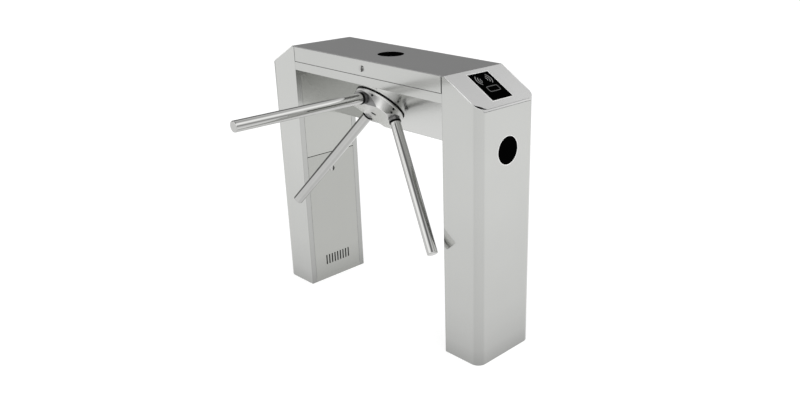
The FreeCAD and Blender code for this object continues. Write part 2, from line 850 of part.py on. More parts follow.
def screw_sketch(body, name, side, angle, distance):
    # A sketch square to a hub screw, at a distance from the shaft
    sketch = new_sketch(body, name, "XZ_Plane", distance * cosine(angle))
    bind(sketch, "AttachmentOffset.Base.x", distance * sine(angle) * side)
    sketch.AttachmentOffset.Rotation = FreeCAD.Rotation(Vector(0, side, 0), angle.value)
    bind(sketch, "AttachmentOffset.Rotation.Angle", angle)
    return sketch


def build_hub():
    piece("gap_shield", turned("gap_shield", head_frame, [
        (d.shaft_radius * 2, 0), (d.shield_radius, 0),
        (d.shield_radius, d.shield_thickness), (d.shaft_radius * 2, d.shield_thickness),
    ]))
    bore = d.shaft_radius + d.seat_gap
    rim = d.hub_disc_radius
    piece("hub_disc", turned("hub_disc", head_frame, [
        (bore, d.hub_gap), (rim, d.hub_gap), (rim, hub_base - d.hub_disc_chamfer),
        (rim - d.hub_disc_chamfer, hub_base), (bore, hub_base),
    ]))
    bolt_bore = d.hub_bolt_radius + d.seat_gap
    bolt_seat = hub_top - d.hub_bolt_sink
    body = turned("hub_body", head_frame, [
        (bore, hub_base), (d.hub_radius, hub_base), (d.hub_radius, hub_top - d.hub_edge),
        (d.hub_radius - d.hub_edge, hub_top), (d.hub_bolt_seat, hub_top), (d.hub_bolt_seat, bolt_seat),
        (bolt_bore, bolt_seat), (bolt_bore, shaft_top), (bore, shaft_top),
    ])
    flat = arm_sketch(body, "flat", d.arm_flat)
    circle(flat, 0, 0, d.hub_radius * 2)
    around(body, [pocket(body, flat, d.hub_radius * 2, backwards=True)], 3)
    collar = arm_sketch(body, "collar", d.arm_flat)
    circle(collar, 0, 0, d.arm_collar)
    around(body, [pad(body, collar, d.arm_start - d.arm_flat)], 3)
    socket = arm_sketch(body, "socket", d.arm_start)
    circle(socket, 0, 0, arm_radius + d.seat_gap)
    around(body, [pocket(body, socket, d.arm_insert)], 3)
    spigot = arm_sketch(body, "spigot", d.arm_start - d.arm_insert)
    circle(spigot, 0, 0, arm_radius - d.arm_wall - d.seat_gap)
    around(body, [pad(body, spigot, d.arm_spigot)], 3)
    for name, (side, angle, heights) in SCREWS.items():
        seats = screw_sketch(body, name + "_seats", side, angle, d.hub_radius - d.hub_screw_sink)
        for height in heights:
            circle(seats, 0, height, d.hub_screw_seat)
        around(body, [pocket(body, seats, d.hub_screw_sink * 2, backwards=True)], 3)
    piece("hub_body", body)


def build_hub_screws():
    body = new_body("side_screws", head_frame)
    body.AllowCompound = True
    key = d.hub_screw_key
    seat = d.hub_radius - d.hub_screw_sink
    for name, (side, angle, heights) in SCREWS.items():
        heads = screw_sketch(body, name + "_heads", side, angle, seat)
        keys = screw_sketch(body, name + "_keys", side, angle, seat + d.hub_screw_head)
        for height in heights:
            circle(heads, 0, height, d.hub_screw_radius)
            outline(keys, [(key * math.cos(math.pi * step / 3), height + key * math.sin(math.pi * step / 3))
                           for step in range(6)])
        around(body, [pad(body, heads, d.hub_screw_head)], 3)
        around(body, [pocket(body, keys, d.hub_screw_key_depth)], 3)
    bolt_seat = hub_top - d.hub_bolt_sink
    bolt = turned("hub_bolt", head_frame, [
        (0, shaft_top), (d.hub_bolt_radius, shaft_top), (d.hub_bolt_radius, bolt_seat),
        (d.hub_bolt_head_radius, bolt_seat), (d.hub_bolt_head_radius, bolt_seat + d.hub_bolt_head),
        (0, bolt_seat + d.hub_bolt_head),
    ])
    piece("hub_fasteners", fuse("hub_fasteners", [body, bolt]))


def build_arms():
    inside = arm_radius - d.arm_wall
    plug = inside - d.seat_gap
    seals = []
    for number in range(3):
        frame = arm_frame(number)
        label = number + 1
        piece(f"arm_{label}", turned(f"arm_{label}", frame, [
            (inside, d.arm_start - d.arm_insert), (arm_radius, d.arm_start - d.arm_insert),
            (arm_radius, d.arm_end), (inside, d.arm_end),
        ]))
        piece(f"arm_cap_{label}", turned(f"arm_cap_{label}", frame, [
            (0, d.arm_end - d.arm_plug), (plug, d.arm_end - d.arm_plug), (plug, d.arm_end),
            (arm_radius, d.arm_end), (arm_radius, d.arm_end + d.arm_cap, d.arm_cap_round),
            (0, d.arm_end + d.arm_cap),
        ]))
        seal = rectangle(arm_radius + d.seat_gap, d.arm_start,
                         d.arm_collar + d.seal_overhang, d.arm_start + d.seal_height)
        seals.append(turned(f"arm_seal_{label}", frame, seal))
    piece("arm_seals", fuse("arm_seals", seals))


# Shaft line behind the slanted face; distances run back from the face, so they are negative
plate_front = -d.plate_setback
plate_back = plate_front - d.plate_thickness
housing_back = -d.housing_front - d.housing_length
index_front = housing_back - d.index_behind
index_back = index_front - d.index_thickness
encoder_front = index_back - d.encoder_behind
encoder_back = encoder_front - d.encoder_thickness
damper_front = encoder_back - d.damper_behind - d.bracket_thickness
damper_back = damper_front - d.damper_length
shaft_step = damper_front + d.bracket_thickness + d.clearance
shaft_end = shaft_step - d.shaft_end_length


def head_cut(name, base, tools):
    return piece(name, place(cut(name, base, tools), head_frame))


def head_fuse(name, solids):
    return piece(name, place(fuse(name, solids), head_frame))


def build_shaft_line():
    piece("main_shaft", turned("main_shaft", head_frame, [
        (0, shaft_end), (d.shaft_end_radius, shaft_end), (d.shaft_end_radius, shaft_step),
        (d.shaft_radius, shaft_step), (d.shaft_radius, shaft_top), (0, shaft_top),
    ]))
    seat = d.bearing_radius + d.seat_gap
    front_stop = -d.housing_front - d.bearing_width - d.bearing_lip
    rear_stop = housing_back + d.bearing_width + d.bearing_lip
    flange_back = plate_back - d.housing_flange
    piece("bearing_housing", turned("bearing_housing", head_frame, [
        (seat, -d.housing_front), (seat, front_stop), (d.housing_bore_radius, front_stop),
        (d.housing_bore_radius, rear_stop), (seat, rear_stop), (seat, housing_back),
        (d.housing_radius, housing_back), (d.housing_radius, flange_back),
        (d.housing_flange_radius, flange_back), (d.housing_flange_radius, plate_back),
        (d.housing_radius, plate_back), (d.housing_radius, -d.housing_front),
    ]))
    ring = d.shaft_radius + d.running_fit
    bearings = []
    for name, low in (("front_bearing", front_stop), ("rear_bearing", rear_stop - d.bearing_width)):
        bearings.append(turned(name, head_frame, rectangle(ring, low, d.bearing_radius,
                                                           low + d.bearing_width)))
    piece("shaft_bearings", fuse("shaft_bearings", bearings))
    plate = box("plate_slab", (-d.plate_half_width, d.plate_half_width),
                (-d.plate_half_height, d.plate_half_height), (plate_back, plate_front))
    plate_hole = cylinder("plate_hole", "z", (0, 0, plate_back - 1), d.plate_thickness + 2,
                          d.housing_radius + d.seat_gap)
    head_cut("mechanism_plate", plate, [plate_hole])
    posts = []
    for side_u in (-1, 1):
        for side_v in (-1, 1):
            start = (d.standoff_u * side_u, d.standoff_v * side_v, plate_front)
            posts.append(cylinder("standoff", "z", start, d.plate_setback - d.sheet, d.standoff_radius))
    head_fuse("plate_standoffs", posts)
    build_index_disc()
    bore = d.shaft_radius + d.seat_gap
    piece("encoder_disc", turned("encoder_disc", head_frame,
                                 rectangle(bore, encoder_back, d.encoder_radius, encoder_front)))
    fit = d.shaft_end_radius + d.running_fit
    blind = shaft_end - d.clearance
    piece("rotary_damper", turned("rotary_damper", head_frame, [
        (0, damper_back), (d.damper_radius, damper_back), (d.damper_radius, damper_front),
        (fit, damper_front), (fit, blind), (0, blind),
    ]))
    yoke = box("damper_yoke", (-d.bracket_half_width, d.bracket_half_width),
               (-d.bracket_low, d.bracket_high), (damper_front, damper_front + d.bracket_thickness))
    legs = []
    for side in (-1, 1):
        start = (d.bracket_post_u * side, -d.bracket_post_v, damper_front)
        legs.append(cylinder("damper_leg", "z", start, plate_back - damper_front, d.bracket_post_radius))
    yoke_hole = cylinder("yoke_hole", "z", (0, 0, damper_front - 1), d.bracket_thickness + 2,
                         d.shaft_radius + d.clearance * 2)
    head_cut("damper_bracket", fuse("damper_frame", [yoke, *legs]), [yoke_hole])


def build_index_disc():
    body = new_body("index_disc", head_frame)
    disc = new_sketch(body, "disc", "XY_Plane", index_back)
    circle(disc, 0, 0, d.index_radius)
    circle(disc, 0, 0, d.shaft_radius + d.seat_gap)
    pad(body, disc, d.index_thickness)
    notch = new_sketch(body, "notch", "XY_Plane", index_back)
    outline(notch, rectangle(d.index_radius - d.notch_depth, -d.notch_width / 2,
                             d.index_radius * 1.2, d.notch_width / 2))
    around(body, [pocket(body, notch, d.index_thickness, backwards=True)], d.index_notches)
    piece("index_disc", body)


# Position sensor: a small board on two posts with a forked eye over the encoder disc
def build_sensor():
    fork_low = d.encoder_radius - d.fork_overlap
    middle = (encoder_front + encoder_back) / 2
    board_low = middle - d.sensor_depth / 2
    fork = box("fork_block", (-d.fork_half_width, d.fork_half_width), (fork_low, d.sensor_height),
               (middle - d.fork_depth / 2, middle + d.fork_depth / 2))
    slot = box("fork_slot", (-d.fork_half_width - 1, d.fork_half_width + 1),
               (fork_low - 1, d.encoder_radius + d.fork_slot),
               (middle - d.fork_slot / 2, middle + d.fork_slot / 2))
    eye = cut("fork_eye", fork, [slot])
    board = box("sensor_sheet", (-d.sensor_half_width, d.sensor_half_width),
                (d.sensor_height, d.sensor_height + d.board_thickness),
                (board_low, board_low + d.sensor_depth))
    parts = [eye, board]
    for side in (-1, 1):
        start = (d.sensor_post_u * side, d.sensor_height + d.sensor_post_radius, board_low)
        parts.append(cylinder("sensor_post", "z", start, plate_back - board_low, d.sensor_post_radius))
    head_fuse("sensor_board", parts)


# Locking pawls: at rest they stand clear of the index disc, and their solenoids push them in
def build_pawls():
    middle = (index_front + index_back) / 2
    low_u, high_u = d.pawl_u - d.pawl_half_width, d.pawl_u + d.pawl_half_width
    boss_u = (d.pawl_u - d.pawl_boss, d.pawl_u + d.pawl_boss)
    shoulder = d.pawl_v - d.pawl_boss
    tip = d.index_radius + d.pawl_free_gap
    body = new_body("pawl", head_frame)
    shape = new_sketch(body, "shape", "XY_Plane", middle - d.pawl_thickness / 2)
    outline(shape, [
        (low_u, -d.pawl_tail), (high_u, -d.pawl_tail), (high_u, shoulder),
        (boss_u[1], d.pawl_v), (d.pawl_u, d.pawl_v + d.pawl_boss), (boss_u[0], d.pawl_v),
        (low_u, shoulder), (low_u, d.nose_high), (tip, d.nose_high), (tip, -d.nose_low),
        (low_u, -d.nose_low),
    ])
    circle(shape, d.pawl_u, d.pawl_v, d.pawl_pin_radius + d.running_fit)
    pad(body, shape, d.pawl_thickness)
    both_sides("pawl", body)
    pin_back = middle - d.pawl_thickness
    pins = []
    for side in (-1, 1):
        start = (d.pawl_u * side, d.pawl_v, pin_back)
        pins.append(cylinder("pawl_pin", "z", start, plate_back - pin_back, d.pawl_pin_radius))
    head_fuse("pawl_pins", pins)
    build_solenoids(middle, high_u)


def build_solenoids(middle, pawl_face):
    end = d.solenoid_start + d.solenoid_length
    low, high = middle - d.solenoid_half, middle + d.solenoid_half
    block = box("solenoid_block", (d.solenoid_start, end),
                (d.push_v - d.solenoid_half, d.push_v + d.solenoid_half), (low, high))
    leg_v = (d.push_v - d.solenoid_leg_half, d.push_v + d.solenoid_leg_half)
    legs = []
    for start in (d.solenoid_start + d.solenoid_leg, end - d.solenoid_leg * 2):
        legs.append(box("solenoid_foot", (start, start + d.solenoid_leg), leg_v, (high - 1, plate_back)))
    bore = cylinder("solenoid_bore", "x", (d.solenoid_start - 1, d.push_v, middle),
                    d.solenoid_length + 2, d.armature_radius + d.running_fit)
    frame = place(cut("solenoid", fuse("solenoid_frame", [block, *legs]), [bore]), head_frame)
    both_sides("solenoid", frame)
    tip = pawl_face + d.clearance
    step = d.solenoid_start + d.armature_start
    tail = end + d.spring_room
    push_frame = (head_point(0, d.push_v, middle), (Vector(0, 1, 0), 90))
    both_sides("plunger", turned("plunger", push_frame, [
        (0, tip), (d.push_rod_radius, tip, d.push_rod_round), (d.push_rod_radius, step),
        (d.armature_radius, step), (d.armature_radius, tail), (d.tail_radius, tail),
        (d.tail_radius, tail + d.tail_thickness), (0, tail + d.tail_thickness),
    ]))


# Electronics fixed to the end walls inside the columns
def build_electronics():
    wall = right - d.sheet
    board_back = wall - d.board_standoff
    half = d.board_width / 2
    top = d.board_bottom + d.board_height
    parts = [box("board_sheet", (board_back - d.board_thickness, board_back), (-half, half),
                 (d.board_bottom, top))]
    for side in (-1, 1):
        for height in (d.board_bottom + d.board_post_inset, top - d.board_post_inset):
            start = (board_back - d.board_thickness, (half - d.board_post_inset) * side, height)
            parts.append(cylinder("board_post", "x", start, d.board_standoff + d.board_thickness,
                                  d.board_post_radius))
    relay_bottom = d.board_bottom + d.board_height / 2
    parts.append(box("relay_block", (board_back - d.board_thickness - d.relay_height, board_back),
                     (-d.relay_width / 2, d.relay_width / 2),
                     (relay_bottom, relay_bottom + d.relay_length)))
    piece("control_board", fuse("control_board", parts))
    piece("power_supply", box("power_supply", (-wall, -wall + d.supply_depth),
                              (-d.supply_width / 2, d.supply_width / 2),
                              (d.supply_bottom, d.supply_bottom + d.supply_height)))


build_column()
build_readers()
build_lights()
build_base()
build_access_panel()
build_upper_panel()
build_panel_lock()
build_lid_lock()
build_bridge()
build_lid()
build_lid_hinge()
build_hub()
build_hub_screws()
build_arms()
build_shaft_line()
build_sensor()
build_pawls()
build_electronics()
doc.recompute()

# Nothing is written unless every feature and every piece came out whole
for feature in doc.Objects:
    if "Invalid" in feature.State or "Error" in feature.State:
        raise RuntimeError(f"{feature.Name} failed: {feature.State}")
for name, solid in pieces.items():
    if solid.Shape.isNull() or not solid.Shape.isValid() or not solid.Shape.Solids:
        raise RuntimeError(f"{name} is not a valid solid")

os.makedirs("parts", exist_ok=True)
for name, solid in pieces.items():
    solid.Shape.exportStep(f"parts/{name}.step")
    print(f"{name}: {len(solid.Shape.Solids)} solid(s), {solid.Shape.Volume / 1000:.1f} cm3")
print(len(pieces), "pieces")
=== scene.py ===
import json
import math
import bpy
import numpy as np
from mathutils import Matrix, Vector


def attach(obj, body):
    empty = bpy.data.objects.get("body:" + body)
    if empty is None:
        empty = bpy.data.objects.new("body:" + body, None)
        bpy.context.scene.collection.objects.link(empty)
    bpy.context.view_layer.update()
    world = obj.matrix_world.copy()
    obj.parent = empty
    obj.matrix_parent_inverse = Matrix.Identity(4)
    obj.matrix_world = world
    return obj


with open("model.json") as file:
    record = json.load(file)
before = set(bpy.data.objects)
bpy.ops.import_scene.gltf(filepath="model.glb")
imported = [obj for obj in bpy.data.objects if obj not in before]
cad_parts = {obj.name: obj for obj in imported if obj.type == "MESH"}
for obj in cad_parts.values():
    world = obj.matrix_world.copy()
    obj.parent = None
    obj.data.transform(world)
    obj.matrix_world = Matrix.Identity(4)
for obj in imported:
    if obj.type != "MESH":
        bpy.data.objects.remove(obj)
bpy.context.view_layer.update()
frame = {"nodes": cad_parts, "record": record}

nodes = frame["nodes"]
print("frame loaded:", len(nodes), "nodes")


# Node graphs: arithmetic on a Wire adds Math nodes, and Graph.add makes every other node
class Wire:
    def __init__(self, graph, socket):
        self.graph = graph
        self.socket = socket

    def join(self, operation, first, second):
        return self.graph.add("ShaderNodeMath", {"operation": operation}, {0: first, 1: second})

    def __add__(self, other):
        return self.join("ADD", self, other)

    def __radd__(self, other):
        return self.join("ADD", other, self)

    def __sub__(self, other):
        return self.join("SUBTRACT", self, other)

    def __rsub__(self, other):
        return self.join("SUBTRACT", other, self)

    def __mul__(self, other):
        return self.join("MULTIPLY", self, other)

    def __rmul__(self, other):
        return self.join("MULTIPLY", other, self)

    def size(self):
        return self.join("ABSOLUTE", self, 0.0)

    def most(self, other):
        return self.join("MAXIMUM", self, other)


class Graph:
    def __init__(self, tree):
        self.tree = tree
        tree.nodes.clear()

    def add(self, kind, settings=None, sockets=None, out=0):
        node = self.tree.nodes.new(kind)
        for key, value in (settings or {}).items():
            if key == "stops":
                setStops(node.color_ramp, value)
            else:
                setattr(node, key, value)
        for key, value in (sockets or {}).items():
            if isinstance(value, Wire):
                self.tree.links.new(value.socket, node.inputs[key])
            else:
                node.inputs[key].default_value = value
        return Wire(self, node.outputs[out]) if len(node.outputs) else node

    def place(self):  # object coordinates, in metres
        return self.add("ShaderNodeTexCoord", out=3)

    def axis(self, letter):
        return self.add("ShaderNodeSeparateXYZ", {}, {0: self.place()}, out="XYZ".index(letter))

    def along(self, start, direction):  # distance from a start, measured along a direction
        return sum(((self.axis(letter) - begin) * part
                    for letter, begin, part in zip("XYZ", start, direction)), 0.0)

    def noise(self, scale, detail=2.0):
        spread = self.add("ShaderNodeMapping", {}, {"Vector": self.place(), "Scale": scale})
        return self.add("ShaderNodeTexNoise", {"noise_dimensions": "3D"},
                        {"Vector": spread, "Scale": 1.0, "Detail": detail})

    def ramp(self, value, stops):
        return self.add("ShaderNodeValToRGB", {"stops": stops}, {"Fac": value})

    def fade(self, value, low, high, toLow=0.0, toHigh=1.0):
        return self.add("ShaderNodeMapRange", {"interpolation_type": "SMOOTHSTEP"},
                        {"Value": value, "From Min": low, "From Max": high,
                         "To Min": toLow, "To Max": toHigh})

    def blend(self, factor, first, second, kind="MIX"):
        return self.add("ShaderNodeMix", {"data_type": "RGBA", "blend_type": kind},
                        {0: factor, 6: first, 7: second}, out=2)

    def softEdge(self, radius):  # normals rounded over sharp edges
        return self.add("ShaderNodeBevel", {"samples": 4}, {"Radius": radius})

    def bump(self, height, strength, distance, normal=None):
        sockets = {"Height": height, "Strength": strength, "Distance": distance}
        if normal is not None:
            sockets["Normal"] = normal
        return self.add("ShaderNodeBump", {}, sockets)


def setStops(ramp, stops):
    while len(ramp.elements) < len(stops):
        ramp.elements.new(0.5)  # every stop gets its place below
    for element, (position, colour) in zip(ramp.elements, stops):
        element.position = position
        element.color = colour


def grey(level):
    return (level, level, level, 1.0)


def newMaterial(name):
    made = bpy.data.materials.new(name)
    made.use_nodes = True
    return made, Graph(made.node_tree)


def surface(graph, **sockets):  # principled shader; _ in a socket name stands for a space
    named = {key.replace("_", " "): value for key, value in sockets.items()}
    shader = graph.add("ShaderNodeBsdfPrincipled", {}, named)
    graph.add("ShaderNodeOutputMaterial", {}, {"Surface": shader})


# Finishes, one for each slot of the record
noiseMiddle = 0.5  # mean of a noise texture
steel = {"tone": (0.615, 0.62, 0.605), "shade": (0.56, 0.565, 0.55), "metallic": 1.0, "rough": 0.22,
         "fine": 900.0, "along": 6.0, "detail": 3.0, "cloud": 5.0, "streakShare": 0.5, "cloudShare": 0.5,
         "roughStreak": 0.10, "roughCloud": 0.05, "bump": 0.04, "grainDepth": 0.0004, "edge": 0.0012,
         # These entries paint light and shade into the tone: darker inner faces, a lighter far column,
         # shading from front to back and painted shade darkening towards the floor
         "inner": 1.0, "innerX": (0.3945, 0.3965), "far": 1.05, "farX": (-0.45, -0.1),
         "depth": (1.0, 1.0), "depthY": (-0.12, 0.12),
         "foot": ((0.0, 0.58), (0.06, 0.74), (0.12, 0.81), (0.2, 0.87), (0.36, 0.92), (0.6, 0.985),
                  (0.75, 1.0))}
# The caps' slope carries a painted reflection in its brighter tone; below the slope the lip is taken back
# down to about the column's tone
capLip = ((0.0, 0.82), (0.9117, 0.82), (0.9122, 1.0))
# painted shade: the access panels and base plates darken towards the floor
panelFootShade = ((0.0, 0.70), (0.06, 0.84), (0.12, 0.95), (0.2, 0.97), (0.6, 1.0))


# Fine streaks along grainAxis; the tone also carries painted shade and light: darker towards the floor,
# painted shade on the inner faces, the far column painted lighter from side to side, and painted shading
# from front to back
def brushedSteel(name, grainAxis, **changes):
    look = {**steel, **changes}
    made, graph = newMaterial(name)
    scale = [look["fine"]] * 3
    scale["XYZ".index(grainAxis)] = look["along"]
    streak = graph.noise(tuple(scale), look["detail"])
    cloud = graph.noise((look["cloud"],) * 3)
    mixed = streak * look["streakShare"] + cloud * look["cloudShare"]
    tone = graph.blend(mixed, (*look["shade"], 1), (*look["tone"], 1))
    # painted shade towards the floor and on the inner faces, painted light on the far column, painted
    # shading from front to back
    foot = graph.ramp(graph.axis("Z"), [(height, grey(level)) for height, level in look["foot"]])
    inner = graph.fade(graph.axis("X").size(), *look["innerX"], look["inner"], 1.0)
    far = graph.fade(graph.axis("X"), *look["farX"], look["far"], 1.0)
    depth = graph.fade(graph.axis("Y"), *look["depthY"], *look["depth"])
    tone = graph.blend(1.0, graph.blend(1.0, tone, foot, "MULTIPLY"), inner * far * depth, "MULTIPLY")
    rough = look["rough"] + (streak - noiseMiddle) * look["roughStreak"]
    rough = rough + (cloud - noiseMiddle) * look["roughCloud"]
    surface(graph, Base_Color=tone, Metallic=look["metallic"], Roughness=rough,
            Normal=graph.bump(streak, look["bump"], look["grainDepth"], graph.softEdge(look["edge"])))
    return made


speck = {"fine": 60.0, "detail": 4.0, "darker": 4, "grain": 900.0, "grainDepth": 0.0004}


def plain(name, colour, rough, metallic=0.0, specular=0.5, speckle=0.03, bump=0.0):
    made, graph = newMaterial(name)
    cloud = graph.noise((speck["fine"],) * 3, speck["detail"])
    dark = tuple(level * (1 - speckle * speck["darker"]) for level in colour)
    tone = graph.blend(cloud, (*dark, 1), (*colour, 1))
    sockets = {"Base_Color": tone, "Metallic": metallic, "Specular_IOR_Level": specular,
               "Roughness": rough + (cloud - noiseMiddle) * speckle}
    if bump:
        sockets["Normal"] = graph.bump(graph.noise((speck["grain"],) * 3), bump, speck["grainDepth"])
    surface(graph, **sockets)
    return made


finishes = {
    # painted shade: the columns' inner faces are darkened
    "cabinet_steel": brushedSteel("columnSteel", "Z", rough=0.13, inner=0.79),
    "panel_steel": brushedSteel("panelSteel", "Z", tone=(0.465, 0.47, 0.45), shade=(0.42, 0.425, 0.405),
                                foot=panelFootShade),
    "top_plate": brushedSteel("darkTopSteel", "X", tone=(0.306, 0.306, 0.305), shade=(0.284, 0.284, 0.283),
                              rough=0.5, far=1.0, metallic=0.0),
    "black_lens": plain("smokedLens", (0.0012, 0.0012, 0.0012), 0.08, specular=0.0),
    "polished_steel": plain("polishedSteel", (0.57, 0.57, 0.56), 0.04, metallic=1.0, speckle=0.02),
    "black_steel": plain("blackOxide", (0.02, 0.02, 0.021), 0.35, metallic=0.6, specular=0.3),
    "bright_steel": plain("brightSteel", (0.56, 0.56, 0.55), 0.15, metallic=1.0),
    "black_rubber": plain("rubberAndPaintedShade", (0.006, 0.006, 0.006), 0.6, specular=0.05, bump=0.2),
    "black_plastic": plain("blackPlasticAndSlotShade", (0.004, 0.004, 0.004), 0.5, specular=0.05, bump=0.1),
    "light_plastic": plain("lightPlastic", (0.7, 0.7, 0.67), 0.4),
    "plated_steel": plain("zincPlate", (0.55, 0.55, 0.5), 0.3, metallic=1.0, speckle=0.06),
    "machined_steel": plain("turnedSteel", (0.55, 0.55, 0.55), 0.25, metallic=1.0),
    "circuit_board": plain("boardGreen", (0.02, 0.12, 0.05), 0.35),
    "grey_case": plain("greyCase", (0.3, 0.31, 0.32), 0.45, bump=0.1),
}
slotOf = {entry["node"]: entry["material_slot"] for entry in frame["record"]["subparts"]}
for name, node in nodes.items():
    node.data.materials.clear()
    node.data.materials.append(finishes[slotOf[name]])


# The head: its centre on the slanted face, its axis, and the three arms, which meet behind the centre
head = {"centre": (0.0, -0.0592, 0.8308), "axis": (0.0, -0.70711, -0.70711), "meet": 0.047,
        "arms": ((0.0, -1.0, 0.0), (-0.61237, -0.25, -0.75), (0.61237, -0.25, -0.75))}
headCentre, headAxis = np.array(head["centre"]), np.array(head["axis"])
armMeet = headCentre - head["meet"] * headAxis
# Painted highlight: the front face's near-white tone; painted shade: the sockets' dark grey
hubLook = {"wall": (0.76, 0.76, 0.75, 1), "face": (0.99, 0.99, 0.98, 1), "socket": (0.24, 0.24, 0.24, 1),
           "rough": (0.28, 0.3), "roughCloud": 0.02, "highlightRise": (0.0461, 0.0466),
           "highlightFall": (0.0473, 0.0478), "socketShadeRise": (0.1116, 0.1119)}


# Satin wall; a painted highlight makes the front face near white, found by its height on the axis, and
# painted shade darkens the sockets, found by their reach along an arm
def makeHubSteel():
    made, graph = newMaterial("hubSteel")
    height = graph.along(headCentre, headAxis)
    # mask of the painted highlight on the front face
    face = graph.fade(height, *hubLook["highlightRise"]) * graph.fade(height, *hubLook["highlightFall"], 1.0, 0.0)
    first, second, third = (graph.along(armMeet, arm) for arm in head["arms"])
    # mask of the painted shade on the sockets
    socket = graph.fade(first.most(second).most(third), *hubLook["socketShadeRise"])
    tone = graph.blend(face, hubLook["wall"], hubLook["face"])
    cloud = graph.noise((speck["fine"],) * 3, speck["detail"])
    wallRough, faceRough = hubLook["rough"]
    surface(graph, Base_Color=graph.blend(socket, tone, hubLook["socket"]), Metallic=1.0,
            Roughness=face * (faceRough - wallRough) + cloud * hubLook["roughCloud"] + wallRough)
    return made


otherLooks = {
    ("hub_body", "hub_disc"): makeHubSteel(),
    # painted shade: behind the front strip's face the bridge tone is 9% darker
    ("bridge_front_panel", "bridge_back_panel", "lid_shell"): brushedSteel(
        "bridgeSteel", "X", rough=0.16, far=1.0, bump=0.01, depth=(1.0, 0.91), depthY=(-0.138, -0.130)),
    ("left_upper_panel", "right_upper_panel"): brushedSteel(
        "upperPanelSteel", "Z", tone=(0.53, 0.535, 0.515), shade=(0.48, 0.485, 0.465)),
    ("left_base_plate", "right_base_plate"): finishes["panel_steel"],
    # painted light: the caps' tone is raised to brighten the slope's reflection, with painted shading darker
    # at the front and lighter at the back
    ("left_end_cap", "right_end_cap"): brushedSteel(
        "capSteel", "Y", tone=(0.75, 0.75, 0.745), shade=(0.70, 0.70, 0.695), depth=(0.96, 1.12),
        foot=capLip),
}
for names, look in otherLooks.items():
    for name in names:
        nodes[name].data.materials[0] = look
print("finishes set:", len(finishes))


# New pieces: rings[i, j] is point j of closed loop i, and the loops are skinned in order
def shell(rings, first):  # points and outward faces of one closed skin, numbered from first
    isLoop = np.allclose(rings[0], rings[-1])  # rings that come back to their start have no end faces
    rings = rings[:-1] if isLoop else rings
    count, around = rings.shape[:2]
    i, j = np.meshgrid(np.arange(count if isLoop else count - 1), np.arange(around), indexing="ij")
    k, n = (j + 1) % around, (i + 1) % count
    quads = np.stack([i * around + j, i * around + k, n * around + k, n * around + j], -1).reshape(-1, 4)
    points = rings.reshape(-1, 3)
    a, b, c, d = (points[quads[:, corner]] - points.mean(0) for corner in range(4))
    ends = [] if isLoop else [np.arange(around)[::-1], np.arange((count - 1) * around, count * around)]
    step = 1 if np.einsum("ij,ij->i", a, np.cross(b, c) + np.cross(c, d)).sum() > 0 else -1
    return points, [(face[::step] + first).tolist() for face in [*quads, *ends]]


def skin(name, rings, look, body, smooth=False):  # rings is a list where a piece has several parts
    points, faces = [], []
    for part in rings if isinstance(rings, list) else [rings]:
        partPoints, partFaces = shell(part, sum(map(len, points)))
        points.append(partPoints)
        faces += partFaces
    mesh = bpy.data.meshes.new(name)
    mesh.from_pydata(np.concatenate(points).tolist(), [], faces)
    mesh.polygons.foreach_set("use_smooth", np.full(len(mesh.polygons), smooth))
    mesh.materials.append(look)
    made = bpy.data.objects.new(name, mesh)
    bpy.context.scene.collection.objects.link(made)
    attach(made, body)
    return made


# Sloped caps: point at a distance down the slope, across it and above it
slope = {"breakX": 0.404, "top": 1.0, "run": 0.152, "drop": 0.088}
slopeLength = math.hypot(slope["run"], slope["drop"])
slopeCos, slopeSin = slope["run"] / slopeLength, slope["drop"] / slopeLength


def slopePoint(side, along, across, above):
    x = slope["breakX"] + along * slopeCos + above * slopeSin
    z = slope["top"] - along * slopeSin + above * slopeCos
    return np.stack(np.broadcast_arrays(side * x, across, z), -1)


# Reader symbol: a plain card below two sets of arcs, as thin flat strokes on the window
# arc(a) = middle + radius * (cos a across, sin a along); a stroke's edges lie half its width on either side
# card(a) = middle + clip(square * cos a, -1, 1) * (half - corner) + corner * cos a, and the same with sin
symbol = {"card": (0.098, 0.004, 0.025, 0.012, 0.004),  # along, across, half width, half height, corner
          "arcs": (0.053, 0.000, 0.007),  # along, across, half gap
          "radii": (0.008, 0.017, 0.026), "sweep": 0.9, "stroke": 0.0030, "lift": 0.0003, "steps": 24,
          "square": 1.6, "print": (0.30, 0.30, 0.30), "dimPrint": (0.14, 0.14, 0.14), "rough": 0.5,
          "specular": 0.1}


def strokePiece(name, side, along, across, closed, look):  # flat stroke along a line in the window
    path = np.stack([along, across], -1)
    ahead = np.roll(path, -1, 0) - np.roll(path, 1, 0) if closed else np.gradient(path, axis=0)
    ahead = ahead / np.linalg.norm(ahead, axis=1, keepdims=True)
    out = np.stack([-ahead[:, 1], ahead[:, 0]], -1) * symbol["stroke"] / 2
    low, high = path - out, path + out
    rings = np.stack([slopePoint(side, edge[:, 0], edge[:, 1], level) for edge, level in (
        (low, 0.0), (high, 0.0), (high, symbol["lift"]), (low, symbol["lift"]))], 1)
    if closed:
        rings = np.concatenate([rings, rings[:1]])
    return skin(name, rings, look, "cabinet")


